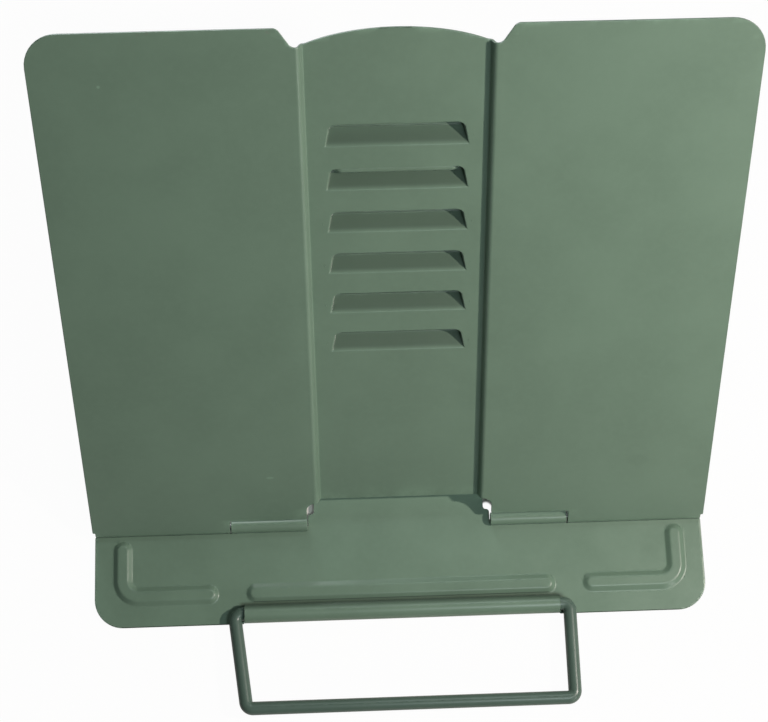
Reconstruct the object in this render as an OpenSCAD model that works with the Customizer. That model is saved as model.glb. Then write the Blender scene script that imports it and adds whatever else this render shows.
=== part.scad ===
// Folding bookstand: a T-shaped pressed base, a hinged back panel with a louvred channel,
// a wire prop that hooks under one louvre and a wire page holder in the rolled front edge.
// X runs along the hinge, Y points to the rear, Z is up and the desk is Z = 0.

/* [Sheet] */
// Thickness of the steel sheet of base and panel
sheet_t = 1.0; // [0.8:0.1:1.2]

/* [Back panel] */
// Overall width of the back panel
panel_w = 245; // [235:1:260]
// Hinge axis to the top edge of the wings
panel_h = 215; // [213:1:225]
// Angle of the panel above the desk, hooked in the second louvre from the top
rest_angle = 50; // [46:1:54]
// Radius of the two outer top corners
panel_corner_r = 12; // [6:1:20]
// Width of the flat floor of the centre channel
channel_w = 61.4; // [60:0.2:64]
// Depth of the channel behind the wings
channel_depth = 3.0; // [2.6:0.1:3.2]
// Sideways run of each sloped channel wall
channel_run = 2.7; // [2.2:0.1:3.2]
// Hinge axis to the lower end of the channel floor
channel_start = 12.8; // [11:0.2:15]
// Distance of the dome's top below the top edge of the wings
dome_drop = 1.2; // [0.4:0.1:1.6]
// Rise of the dome above the two notches beside it
dome_rise = 5.8; // [4.5:0.1:7.5]
// Slope of the edge that climbs from each notch to the wing
notch_slope = 57; // [50:1:62]
// Radius of the two bends in that edge
notch_bend_r = 2.6; // [1.6:0.1:3]
// Distance of the wing's inner lower edge from the hinge axis
wing_hem = 5.4; // [2.9:0.1:6]
// Radius of the hollow at the lower end of each channel wall
wing_relief_r = 3.4; // [3:0.2:5]

/* [Louvres] */
// Number of louvres
louvre_count = 6; // [5:1:6]
// Which louvre holds the prop, counted from the lowest as 1
hooked_louvre = 5; // [5:1:5]
// Hinge axis to the lower edge of the lowest louvre
louvre_first = 84.3; // [83:0.1:86]
// Distance from one louvre to the next
louvre_pitch = 17.1; // [16.8:0.1:17.4]
// Height of a louvre opening
louvre_h = 8.6; // [8.2:0.1:9.2]
// Width of a louvre opening at its lower edge
louvre_w_low = 49.0; // [48:0.1:51]
// Width of a louvre opening at its upper edge
louvre_w_top = 45.8; // [45:0.1:47]
// Radius of the two upper corners of an opening
louvre_corner_r = 2.0; // [1:0.1:3]
// How far the flap's free edge lies behind the channel floor
flap_depth = 4.8; // [4.4:0.1:5]
// Distance of the flap's free edge below the upper edge of its opening
flap_gap = 3.4; // [3.3:0.1:3.7]

/* [Hinge] */
// Diameter of the two hinge pins
pin_d = 3.0; // [2.6:0.1:3.2]
// Radial clearance of a pin in the panel's knuckles
pin_clearance = 0.05; // [0.03:0.01:0.08]
// Interference of a pin in the base's knuckles
pin_grip = 0.01; // [0.005:0.005:0.02]
// Length of each base knuckle
base_knuckle_l = 30.5; // [26:0.5:34]
// Gap between a base knuckle and the panel knuckle beside it
knuckle_gap = 0.5; // [0.4:0.1:1]
// Distance of the panel knuckle's outer end from the panel's side edge
knuckle_inset = 1.0; // [0.5:0.1:4]
// Width of the open seam of every rolled edge
seam = 0.4; // [0.3:0.05:0.5]

/* [Base] */
// Distance of the ledge's side edges inside the panel's side edges
base_inset = 0.5; // [0:0.1:2]
// Hinge axis to the front edge
base_depth = 38.6; // [38:0.2:46]
// Radius of the two front corners
base_corner_r = 11.5; // [6:0.5:16]
// Clearance between the ledge's rear edge and the panel's knuckles
ledge_gap = 0.3; // [0.25:0.05:0.6]
// How far the tongue under the channel reaches past the channel walls on each side
tongue_margin = 0.8; // [0.4:0.1:1.2]
// Width of the slots that free the tongue from the knuckles
relief_w = 2.6; // [2.4:0.1:4]
// Hinge axis to the prop's axis
prop_reach = 88; // [86:0.5:89]
// Depth of the slots that free the tongue from the knuckles, in front of the hinge axis
relief_depth = 0.6; // [0.4:0.1:3]
// Distance of the tongue's plain rear edge in front of the prop's axis
tongue_trim = 6; // [4:0.5:9]

/* [Ribs] */
// Width of the pressed ribs
rib_w = 8.0; // [7:0.2:8.4]
// Height of the pressed ribs above the sheet
rib_h = 1.3; // [0.9:0.1:1.6]
// Hinge axis to the centre line of the ribs along the front
rib_line = 26.5; // [25.5:0.1:26.5]
// Overall length of the middle rib
mid_rib_l = 124; // [100:1:128]
// Ledge's side edge to the centre line of each corner rib's short leg
corner_rib_inset = 11.2; // [10:0.2:14]
// Gap between the middle rib and each corner rib
rib_space = 10.5; // [6:0.5:14]
// Hinge axis to the rear end of each corner rib
corner_rib_rear = 4.0; // [3.6:0.2:10]
// Bend radius of each corner rib, on its centre line
corner_rib_bend = 6.5; // [4.5:0.5:9]

/* [Page holder] */
// Diameter of the page holder's wire
holder_wire_d = 5.2; // [4.6:0.1:5.4]
// Radial clearance of that wire in the rolled front edge
holder_clearance = 0.07; // [0.04:0.01:0.1]
// Length of the rolled front edge
curl_l = 125; // [100:1:127]
// End of the rolled edge to the centre line of the loop's leg beside it
holder_room = 3.95; // [3.9:0.05:6]
// How far each leg draws in from the loop's axis to its bar
holder_taper = 2.35; // [0:0.05:4]
// Sideways lean of the loop at its bar
holder_lean = 2.1; // [0:0.1:3]
// Loop axis to the centre of its bar
holder_reach = 36.9; // [30:0.1:45]
// Bend radius of the loop's corners, on the wire's centre line
holder_bend_r = 2.8; // [2.8:0.1:6]
// Length of each end of the wire inside the rolled edge
holder_end_l = 40; // [15:1:45]
// Clearance of the resting loop over the front edge
holder_gap = 0.3; // [0.3:0.05:0.6]

/* [Prop] */
// Diameter of the prop's wire
prop_wire_d = 3.2; // [3:0.1:3.3]
// Radial clearance of that wire in its knuckles
prop_clearance = 0.05; // [0.03:0.01:0.08]
// Distance of each hook's centre line inside the upper corner of a louvre
hook_inset = 1.7; // [1.7:0.1:3]
// Clearance between the bend at each foot and its knuckle
foot_gap = 0.7; // [0.5:0.1:2]
// Bend radius of the prop's corners, on the wire's centre line
prop_bend_r = 2.4; // [2:0.1:2.6]
// Clearance of the cross bar behind the channel floor
hook_gap = 0.6; // [0.55:0.05:0.8]
// Distance of the cross bar's centre below the upper edge of the opening
hook_drop = 1.6; // [1.4:0.1:1.6]
// Length of the hooks that carry the cross bar
hook_l = 6; // [5:0.1:6.5]
// How far each hook climbs the panel from the cross bar to its rear end
hook_rise = 1.5; // [1:0.1:2.5]
// Length of each prop knuckle
prop_knuckle_l = 7; // [5:0.5:7]
// Distance of each prop knuckle inside the tongue's side edge
prop_knuckle_inset = 1; // [0.5:0.1:2]

/* [Feet] */
// Thickness of the foot pads
pad_h = 1.5; // [1:0.1:2.5]
// Diameter of the foot pads
pad_d = 10; // [8:0.5:12]
// Ledge's side edge to the centre of each front pad
front_pad_inset = 26; // [22:1:32]
// Hinge axis to the centre of each front pad
front_pad_y = 13; // [10:0.5:15]
// Tongue's side edge to the centre of each rear pad
rear_pad_edge = 9.6; // [7:0.2:16]
// Prop axis to the centre of each rear pad
rear_pad_inset = 14; // [12:0.5:30]

/* [Hidden] */
$fn = 64;
// Overlap that keeps cuts and joined solids free of shared faces
lap = 0.5;
// Swell of a wire's bends over its straight runs, and how far the runs reach into them
bend_swell = 0.03;
bend_lap = 0.3;
// Height of the blanks that cut or bound the sheet from side to side
blank = 40;

// Radius of the rolled hinge knuckles, and the height of the hinge axis
knuckle_r = pin_d / 2 + pin_clearance + sheet_t;
hinge_z = pad_h + knuckle_r;

// Front faces of wings and channel floor, measured forward from the hinge axis
wing_face = knuckle_r;
floor_face = wing_face - channel_depth;
floor_back = floor_face - sheet_t;

// Channel wall: half widths at floor and wing, and the shift of the rear bends
channel_half = channel_w / 2;
wall_half = channel_half + channel_run;
wall_slope = atan2(channel_depth, channel_run);
bend_shift = sheet_t * tan(wall_slope / 2);

// Dome and notches at the top edge
dome_top = panel_h - dome_drop;
notch_t = dome_top - dome_rise;
dome_r = (channel_half * channel_half + dome_rise * dome_rise) / (2 * dome_rise);
notch_bend_h = notch_bend_r * (1 - cos(notch_slope));
notch_straight = (panel_h - notch_t - 2 * notch_bend_h) / sin(notch_slope);
notch_w = 2 * notch_bend_r * sin(notch_slope) + notch_straight * cos(notch_slope);

// Widths of the ledge and of the tongue under the channel
base_w = panel_w - 2 * base_inset;
tongue_w = 2 * (wall_half + tongue_margin);
tongue_half = tongue_w / 2;

// Ends of the base and panel knuckles along the hinge
knuckle_inner = tongue_half + relief_w;
base_knuckle_end = knuckle_inner + base_knuckle_l;
panel_knuckle_start = base_knuckle_end + knuckle_gap;
panel_knuckle_end = panel_w / 2 - knuckle_inset;
ledge_rear = sqrt(pow(knuckle_r + ledge_gap, 2) - pow(knuckle_r - sheet_t, 2));

// Rolled front edge
curl_bore_r = holder_wire_d / 2 + holder_clearance;
curl_r = curl_bore_r + sheet_t;
curl_y = base_depth - curl_r;
curl_z = pad_h + curl_r;

// Page holder at rest, its legs lying over the front edge
holder_r = holder_wire_d / 2;
holder_half = curl_l / 2 + holder_room;
edge_angle = atan2(curl_r - sheet_t, curl_r);
holder_tilt = asin((holder_r + holder_gap) / norm([curl_r, curl_r - sheet_t])) - edge_angle;

// Prop knuckles and axis
prop_r = prop_wire_d / 2;
prop_knuckle_r = prop_r + prop_clearance + sheet_t;
prop_z = pad_h + prop_knuckle_r;
prop_knuckle_end = tongue_half - prop_knuckle_inset;
prop_knuckle_start = prop_knuckle_end - prop_knuckle_l;
prop_foot_half = prop_knuckle_start - foot_gap - prop_bend_r;
prop_bar_half = louvre_w_top / 2 - hook_inset;

// Cross bar of the prop in panel coordinates, then in the Y-Z plane from the hinge axis
hook_t = louvre_first + (hooked_louvre - 1) * louvre_pitch + louvre_h - hook_drop;
hook_n = floor_back - hook_gap - prop_r;
hook_back = hook_n - hook_l;
function on_panel(t, n) = [
    t * cos(rest_angle) - n * sin(rest_angle),
    t * sin(rest_angle) + n * cos(rest_angle) + hinge_z
];
bar_at = on_panel(hook_t, hook_n);
heel_at = on_panel(hook_t + hook_rise, hook_back);

// Pressed ribs: radius of the outer arc and height of its centre over the sheet's underside
rib_arc_r = (rib_w * rib_w / 4 + rib_h * rib_h) / (2 * rib_h);
rib_arc_z = sheet_t + rib_h - rib_arc_r;
corner_rib_x = base_w / 2 - corner_rib_inset;
corner_rib_inner = mid_rib_l / 2 + rib_space;

// Foot pads
front_pad_x = base_w / 2 - front_pad_inset;
rear_pad_x = tongue_half - rear_pad_edge;
rear_pad_y = prop_reach - rear_pad_inset;

// The origin stands under the middle of the overall box, on the desk
wing_rear = on_panel(panel_h, wing_face - sheet_t)[0];
dome_rear = on_panel(dome_top, floor_back)[0];
rear_y = max(wing_rear, dome_rear);
front_y = -(curl_y + holder_reach * cos(holder_tilt) + holder_r);
middle_y = (rear_y + front_y) / 2;

paint = [0.42, 0.50, 0.43];
dark_paint = [0.33, 0.40, 0.35];
steel = [0.72, 0.73, 0.74];
rubber = [0.12, 0.12, 0.12];

// Moves the hinge's own frame to the part's frame
module in_place() {
    translate([0, -middle_y, 0]) children();
}

// Children on both sides of the centre plane
module both_sides() {
    children();
    mirror([1, 0, 0]) children();
}

// Round bar along X from x0 to x1, about the X axis
module bar_x(x0, x1, r) {
    translate([x0, 0, 0]) rotate([0, 90, 0]) cylinder(h = x1 - x0, r = r);
}

// Round bar between two points
module bar_between(a, b, r) {
    v = b - a;
    translate(a) rotate([0, acos(v[2] / norm(v)), atan2(v[1], v[0])]) cylinder(h = norm(v), r = r);
}

function unit(v) = v / norm(v);

// Angle by which a path through three points turns at the middle one
function turn_at(a, b, c) = acos(unit(b - a) * unit(c - b));

// Length that a bend takes from each straight run at point i of a path, less the joining lap
function setback(points, i, bend_r) =
    i == 0 || i == len(points) - 1
        ? 0
        : bend_r * tan(turn_at(points[i - 1], points[i], points[i + 1]) / 2) - bend_lap;

// Bend of a wire at point b on the way from a to c
module bend_at(a, b, c, bend_r, r) {
    turn = turn_at(a, b, c);
    forward = unit(b - a);
    centre = b + unit(unit(c - b) - forward) * bend_r / cos(turn / 2);
    outward = unit(b - forward * bend_r * tan(turn / 2) - centre);
    normal = cross(outward, forward);
    translate(centre)
        rotate([atan2(forward[2], normal[2]), -asin(outward[2]), atan2(outward[1], outward[0])])
            rotate_extrude(angle = turn) translate([bend_r, 0]) circle(r + bend_swell);
}

// Wire of radius r through the points, with round bends at the inner ones
module wire(points, bend_r, r) {
    for (i = [0:len(points) - 2]) {
        forward = unit(points[i + 1] - points[i]);
        bar_between(
            points[i] + forward * setback(points, i, bend_r),
            points[i + 1] - forward * setback(points, i + 1, bend_r),
            r
        );
    }
    for (i = [1:len(points) - 2])
        bend_at(points[i - 1], points[i], points[i + 1], bend_r, r);
}

// Plan shape of what a corner of radius r loses, with the corner at the origin
module corner_loss(r) {
    difference() {
        translate([-lap, -lap]) square(r + lap);
        translate([r, r]) circle(r);
    }
}

// ---- Back panel, flat: X across, Y up the panel, Z forward ----

// Section of wings, channel walls and floor
module panel_section() {
    half = panel_w / 2 + lap;
    points = [
        [channel_half, floor_face], [wall_half, wing_face], [half, wing_face],
        [half, wing_face - sheet_t], [wall_half + bend_shift, wing_face - sheet_t],
        [channel_half + bend_shift, floor_back]
    ];
    last = len(points) - 1;
    mirrored = [for (i = [last:-1:0]) [-points[i][0], points[i][1]]];
    polygon(concat(points, mirrored));
}

// Dome at the top of the channel
module dome_shape() {
    translate([0, dome_top - dome_r]) circle(dome_r, $fn = 180);
}

// Points of an arc about a centre, from angle a0 to angle a1
function arc_points(centre, r, a0, a1) =
    [for (i = [0:6]) let (a = a0 + (a1 - a0) * i / 6) centre + r * [cos(a), sin(a)]];

// What the top edge loses beside the dome on one side
module notch_shape() {
    hollow = arc_points([wall_half, notch_t + notch_bend_r], notch_bend_r, -90, notch_slope - 90);
    crest_at = [wall_half + notch_w, panel_h - notch_bend_r];
    crest = arc_points(crest_at, notch_bend_r, notch_slope + 90, 90);
    top = panel_h + lap;
    difference() {
        polygon(concat(
            [[-lap, top], [-lap, notch_t]], hollow, crest, [[crest_at[0], top]]
        ));
        dome_shape();
    }
}

// What the lower edge loses on one side: channel end, relief and clearance of the base knuckle
module hem_shape() {
    relief_x = wall_half + wing_relief_r;
    translate([-lap, -lap]) square([wall_half + lap, channel_start + lap]);
    translate([wall_half, channel_start - wing_relief_r]) circle(wing_relief_r);
    translate([wall_half - lap, -lap])
        square([wing_relief_r + lap, channel_start - wing_relief_r + lap]);
    translate([relief_x - lap, -lap]) square([panel_knuckle_start - relief_x + lap, wing_hem + lap]);
    translate([panel_knuckle_end, -lap]) square([knuckle_inset + lap, lap + knuckle_inset]);
}

module panel_outline() {
    difference() {
        translate([-panel_w / 2, 0]) square([panel_w, panel_h]);
        both_sides() {
            translate([-panel_w / 2, panel_h]) mirror([0, 1]) corner_loss(panel_corner_r);
            notch_shape();
            hem_shape();
        }
    }
}

// Opening of one louvre with round upper corners, grown on all sides by a margin
module louvre_shape(margin) {
    low = louvre_w_low / 2 + margin;
    top = louvre_w_top / 2 + margin;
    r = louvre_corner_r + margin;
    top_t = louvre_h + margin;
    lean = atan2(low - top, top_t + margin);
    arc_x = top - r / tan((90 + lean) / 2);
    arc = arc_points([arc_x, top_t - r], r, lean, 90);
    arc_mirrored = [for (i = [6:-1:0]) [-arc[i][0], arc[i][1]]];
    polygon(concat([[low, -margin]], arc, arc_mirrored, [[-low, -margin]]));
}

// Side view of one louvre's pressed pocket, from its inner flap face or its outer one
module pocket_side(thickness) {
    free_t = louvre_h - flap_gap;
    slope = atan2(flap_depth, free_t);
    edge = [free_t, floor_face - flap_depth];
    root = [-thickness * tan(slope / 2), floor_face - thickness];
    back = thickness > 0 ? [edge - thickness * [sin(slope), cos(slope)]] : [];
    polygon(concat(
        [[root[0], floor_face + lap], root], back, [edge, [free_t, floor_face + lap]]
    ));
}

module pocket_wedge(thickness) {
    translate([panel_w / 2, 0, 0]) rotate([90, 0, -90]) linear_extrude(panel_w)
        mirror([1, 0]) pocket_side(thickness);
}

// Steel of one pocket: flap and both side walls
module pocket_shell() {
    intersection() {
        translate([0, 0, -blank / 2]) linear_extrude(blank / 2 + floor_face) louvre_shape(sheet_t);
        pocket_wedge(sheet_t);
    }
}

// Hollow of one pocket in front of its flap, open above the flap's free edge
module pocket_hollow() {
    intersection() {
        translate([0, 0, -blank / 2]) linear_extrude(blank) louvre_shape(0);
        union() {
            pocket_wedge(0);
            translate([-panel_w / 2, louvre_h - flap_gap - 0.01, -blank / 2])
                cube([panel_w, flap_gap + lap, blank]);
        }
    }
}

module at_louvres() {
    for (i = [0:louvre_count - 1])
        translate([0, louvre_first + i * louvre_pitch, 0]) children();
}

// Rolled knuckle of the panel on one side, open at its seam behind the wing
module panel_knuckle() {
    difference() {
        bar_x(panel_knuckle_start, panel_knuckle_end, knuckle_r);
        translate([panel_knuckle_start - lap, 0, wing_face - sheet_t - seam])
            cube([panel_knuckle_end - panel_knuckle_start + 2 * lap, knuckle_r + lap, seam]);
    }
}

module flat_panel() {
    difference() {
        union() {
            intersection() {
                translate([0, panel_h + lap, 0]) rotate([90, 0, 0])
                    linear_extrude(panel_h + 2 * lap) panel_section();
                translate([0, 0, -blank / 2]) linear_extrude(blank) panel_outline();
            }
            at_louvres() pocket_shell();
            both_sides() panel_knuckle();
        }
        at_louvres() pocket_hollow();
        both_sides() bar_x(panel_knuckle_start - lap, panel_w / 2 + lap, pin_d / 2 + pin_clearance);
    }
}

module back_panel() {
    color(paint) in_place() translate([0, 0, hinge_z]) rotate([rest_angle, 0, 0]) flat_panel();
}

// ---- Base plate ----

// Half section of a rib, outer skin or inner hollow, in X-Y with the sheet's underside at Y = 0
module rib_half(inset) {
    intersection() {
        translate([0, rib_arc_z]) circle(rib_arc_r - inset, $fn = 96);
        translate([0, inset > 0 ? -lap : 0]) square([rib_w, rib_h + sheet_t + lap]);
    }
}

module rib_end(inset, turn) {
    rotate([0, 0, turn]) rotate_extrude(angle = 180) rib_half(inset);
}

// Straight rib along X from x0 to x1
module rib_run(x0, x1, inset) {
    translate([x0, 0, 0]) rotate([90, 0, 90]) linear_extrude(x1 - x0) {
        rib_half(inset);
        mirror([1, 0]) rib_half(inset);
    }
}

module mid_rib(inset) {
    half = mid_rib_l / 2 - rib_w / 2;
    translate([0, -rib_line, 0]) {
        rib_run(-half, half, inset);
        translate([half, 0, 0]) rib_end(inset, -90);
        translate([-half, 0, 0]) rib_end(inset, 90);
    }
}

// L-shaped rib in the right front corner
module corner_rib(inset) {
    inner_x = corner_rib_inner + rib_w / 2;
    rear = corner_rib_rear + rib_w / 2;
    bend = corner_rib_bend;
    translate([0, -rib_line, 0]) {
        rib_run(inner_x, corner_rib_x - bend, inset);
        translate([inner_x, 0, 0]) rib_end(inset, 90);
    }
    translate([corner_rib_x, -rear, 0]) {
        rotate([0, 0, -90]) rib_run(0, rib_line - bend - rear, inset);
        rib_end(inset, 0);
    }
    translate([corner_rib_x - bend, -rib_line + bend, 0]) rotate([0, 0, -90])
        rotate_extrude(angle = 90) translate([bend, 0]) {
            rib_half(inset);
            mirror([1, 0]) rib_half(inset);
        }
}

module ribs(inset) {
    mid_rib(inset);
    both_sides() corner_rib(inset);
}

// Plan of the flat sheet: ledge, knuckle tabs and tongue
module base_outline() {
    difference() {
        union() {
            difference() {
                translate([-base_w / 2, -base_depth]) square([base_w, base_depth - ledge_rear]);
                both_sides() translate([-base_w / 2, -base_depth]) corner_loss(base_corner_r);
            }
            translate([-base_knuckle_end, -ledge_rear - lap])
                square([2 * base_knuckle_end, ledge_rear + lap]);
            translate([-tongue_half, -ledge_rear - lap])
                square([tongue_w, ledge_rear + lap + prop_reach]);
        }
        // slots beside the tongue, with a round front end
        both_sides() translate([tongue_half, relief_w / 2 - relief_depth]) {
            square([relief_w, base_depth]);
            translate([relief_w / 2, 0]) circle(relief_w / 2);
        }
        // front strip that is rolled up into the curl
        translate([-curl_l / 2, -base_depth - lap]) square([curl_l, curl_r + lap]);
        // tongue's rear edge between its two knuckle tabs
        translate([-prop_knuckle_start, prop_reach - tongue_trim])
            square([2 * prop_knuckle_start, tongue_trim + lap]);
        // outer rear corners of the tongue beside the knuckle tabs
        both_sides() translate([prop_knuckle_end, prop_reach - prop_knuckle_r])
            square([tongue_w, prop_knuckle_r + lap]);
    }
}

// Rolled edge about the X axis, open at a seam just above the flat sheet
module rolled_edge(x0, x1, outer_r, seam_side) {
    difference() {
        bar_x(x0, x1, outer_r);
        translate([x0 - lap, seam_side > 0 ? 0 : -outer_r - lap, sheet_t - outer_r])
            cube([x1 - x0 + 2 * lap, outer_r + lap, seam]);
    }
}

module base_rolls() {
    both_sides() {
        translate([0, 0, hinge_z]) rolled_edge(knuckle_inner, base_knuckle_end, knuckle_r, -1);
        translate([0, prop_reach, prop_z])
            rolled_edge(prop_knuckle_start, prop_knuckle_end, prop_knuckle_r, -1);
    }
    translate([0, -curl_y, curl_z]) rolled_edge(-curl_l / 2, curl_l / 2, curl_r, 1);
}

module base_bores() {
    both_sides() {
        translate([0, 0, hinge_z]) bar_x(knuckle_inner - lap, base_knuckle_end + lap, pin_d / 2 - pin_grip);
        translate([0, prop_reach, prop_z])
            bar_x(prop_knuckle_start - lap, tongue_half + lap, prop_r + prop_clearance);
    }
    translate([0, -curl_y, curl_z]) bar_x(-curl_l / 2 - lap, curl_l / 2 + lap, curl_bore_r);
}

module base_plate() {
    color(paint) in_place() difference() {
        union() {
            translate([0, 0, pad_h]) linear_extrude(sheet_t) base_outline();
            translate([0, 0, pad_h]) ribs(0);
            base_rolls();
        }
        translate([0, 0, pad_h]) ribs(sheet_t);
        base_bores();
    }
}

// ---- Hinge pins ----

module hinge_pin() {
    color(steel) in_place() translate([0, 0, hinge_z])
        bar_x(knuckle_inner, panel_knuckle_end, pin_d / 2);
}

// ---- Prop ----

module prop_wire() {
    half_route = [
        [prop_knuckle_end, prop_reach, prop_z],
        [prop_foot_half, prop_reach, prop_z],
        [prop_bar_half, heel_at[0], heel_at[1]],
        [prop_bar_half, bar_at[0], bar_at[1]]
    ];
    other_half = [for (i = [3:-1:0]) [-half_route[i][0], half_route[i][1], half_route[i][2]]];
    color(paint) in_place() wire(concat(half_route, other_half), prop_bend_r, prop_r);
}

// ---- Page holder, flat: X across, -Y from its axis towards its bar ----

module page_holder() {
    end_x = curl_l / 2 - holder_end_l;
    bar_half = holder_half - holder_taper;
    route = [
        [end_x, 0, 0],
        [holder_half, 0, 0],
        [holder_lean + bar_half, -holder_reach, 0],
        [holder_lean - bar_half, -holder_reach, 0],
        [-holder_half, 0, 0],
        [-end_x, 0, 0]
    ];
    color(dark_paint) in_place() translate([0, -curl_y, curl_z]) rotate([-holder_tilt, 0, 0])
        wire(route, holder_bend_r, holder_r);
}

// ---- Foot pads ----

module foot_pad(x, y) {
    color(rubber) in_place() translate([x, y, 0]) cylinder(h = pad_h, d = pad_d);
}

base_plate();
back_panel();
mirror([1, 0, 0]) hinge_pin();  // hinge_pin_left
hinge_pin();  // hinge_pin_right
prop_wire();
page_holder();
foot_pad(-front_pad_x, -front_pad_y);  // foot_pad_front_left
foot_pad(front_pad_x, -front_pad_y);  // foot_pad_front_right
foot_pad(-rear_pad_x, rear_pad_y);  // foot_pad_rear_left
foot_pad(rear_pad_x, rear_pad_y);  // foot_pad_rear_right
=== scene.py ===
"""Visual model of a folding bookstand: pressed base, louvred back panel, wire prop and page holder.

Lengths in the classes are millimetres in the hinge's own frame: X along the hinge, Y to the rear,
Z up from the desk. Every mesh is scaled to metres and moved to the part's frame when it is placed.
"""

import logging
import math
from dataclasses import dataclass, field
from enum import Enum
from typing import Any, Callable, Iterable, Sequence

import bmesh
import bpy
from mathutils import Matrix, Vector


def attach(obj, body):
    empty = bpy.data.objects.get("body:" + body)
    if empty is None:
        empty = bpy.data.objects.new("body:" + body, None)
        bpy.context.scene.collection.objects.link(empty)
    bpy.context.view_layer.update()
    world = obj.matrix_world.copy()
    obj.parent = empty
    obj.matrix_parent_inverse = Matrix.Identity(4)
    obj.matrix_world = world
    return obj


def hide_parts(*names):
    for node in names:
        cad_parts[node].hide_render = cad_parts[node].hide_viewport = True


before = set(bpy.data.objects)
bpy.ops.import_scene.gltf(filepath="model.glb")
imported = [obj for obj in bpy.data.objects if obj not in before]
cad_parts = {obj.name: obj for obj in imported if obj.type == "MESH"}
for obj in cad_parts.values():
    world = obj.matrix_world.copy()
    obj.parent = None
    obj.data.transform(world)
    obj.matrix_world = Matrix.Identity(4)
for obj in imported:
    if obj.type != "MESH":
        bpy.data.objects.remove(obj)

Point = tuple[float, float, float]
Colour = tuple[float, float, float, float]
Run = tuple[float, float, float]
Mesh = bmesh.types.BMesh
Edges = list[bmesh.types.BMEdge]

LOG = logging.getLogger("bookstand")
# A millimetre in metres, and the distance from the hinge axis back to the part's origin
MM = 0.001
MIDDLE_Y = 32.0924
# Thickness of the sheet and height of the foot pads
SHEET = 1.0
PAD_H = 1.5
# Axes of the hinge, the rolled front edge and the prop
HINGE_Z = 4.05
CURL_Y = -34.93
CURL_Z = 5.17
PROP_Y = 88.0
PROP_Z = 4.15
# First and last ends of the two rows of knuckles, from the middle
KNUCKLES_START = 36.8
KNUCKLES_END = 121.5
# The panel's angle over the desk
REST_ANGLE = math.radians(50)
# Cut edges: width of their rounding, and the angle from which an edge counts as a cut edge
CUT_EDGE = 0.26
CUT_ANGLE = math.radians(60)
# Angle over which an edge stays sharp, and how far face area counts in the smoothing
SMOOTH_ANGLE = math.radians(40)
SMOOTH_WEIGHT = 80
# Distances at which points count as one: along a cut, and in a pressed sheet
CUT_MERGE = 1e-4
MERGE = 0.02
# Point attributes that the paint reads: rounded edges, for worn paint and a painted highlight, and the
# painted shade of recesses
EDGE = "edge_wear_and_highlight"
RECESS_SHADE = "recess"
# Middle of a noise's range, and the sign of X on each side
NOISE_MEAN = 0.5
SIDES = (("left", -1), ("right", 1))


class Body(str, Enum):
    """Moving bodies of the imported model."""

    BASE = "base"
    PANEL = "panel"
    PROP = "prop"
    HOLDER = "holder"


class Slot(str, Enum):
    """Material slots of the record."""

    SHEET = "painted_sheet"
    WIRE = "painted_wire"
    PIN = "pin_steel"
    PAD = "pad_rubber"


# ---------------------------------------------------------------- materials


@dataclass
class Value:
    """A number in a node tree, so that shader maths reads as ordinary expressions."""

    shader: "Shader"
    socket: Any

    def _new(self, operation: str, *terms: Any) -> "Value":
        """Adds one Math node on values or plain numbers."""
        node = self.shader.node("ShaderNodeMath", {"operation": operation}, dict(enumerate(terms)))
        return Value(self.shader, node.outputs[0])

    def __add__(self, other: Any) -> "Value":
        """Sum."""
        return self._new("ADD", self, other)

    __radd__ = __add__

    def __sub__(self, other: Any) -> "Value":
        """Difference."""
        return self._new("SUBTRACT", self, other)

    def __rsub__(self, other: Any) -> "Value":
        """Difference from a number."""
        return self._new("SUBTRACT", other, self)

    def __mul__(self, other: Any) -> "Value":
        """Product."""
        return self._new("MULTIPLY", self, other)

    __rmul__ = __mul__

    def step(self, low: float, high: float) -> "Value":
        """Smooth climb from 0 at low to 1 at high, which may be the lower of the two."""
        node = self.shader.node(
            "ShaderNodeMapRange", {"interpolation_type": "SMOOTHSTEP"},
            {"Value": self, "From Min": low, "From Max": high},
        )
        return Value(self.shader, node.outputs[0])


@dataclass(frozen=True)
class Pattern:
    """Noise: feature size in millimetres, octaves, weight of the finer ones, and a mask's two stops."""

    size: float
    detail: float
    rough: float
    stops: tuple[float, float] = (0.0, 1.0)
    stretch: Point = (1, 1, 1)


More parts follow.
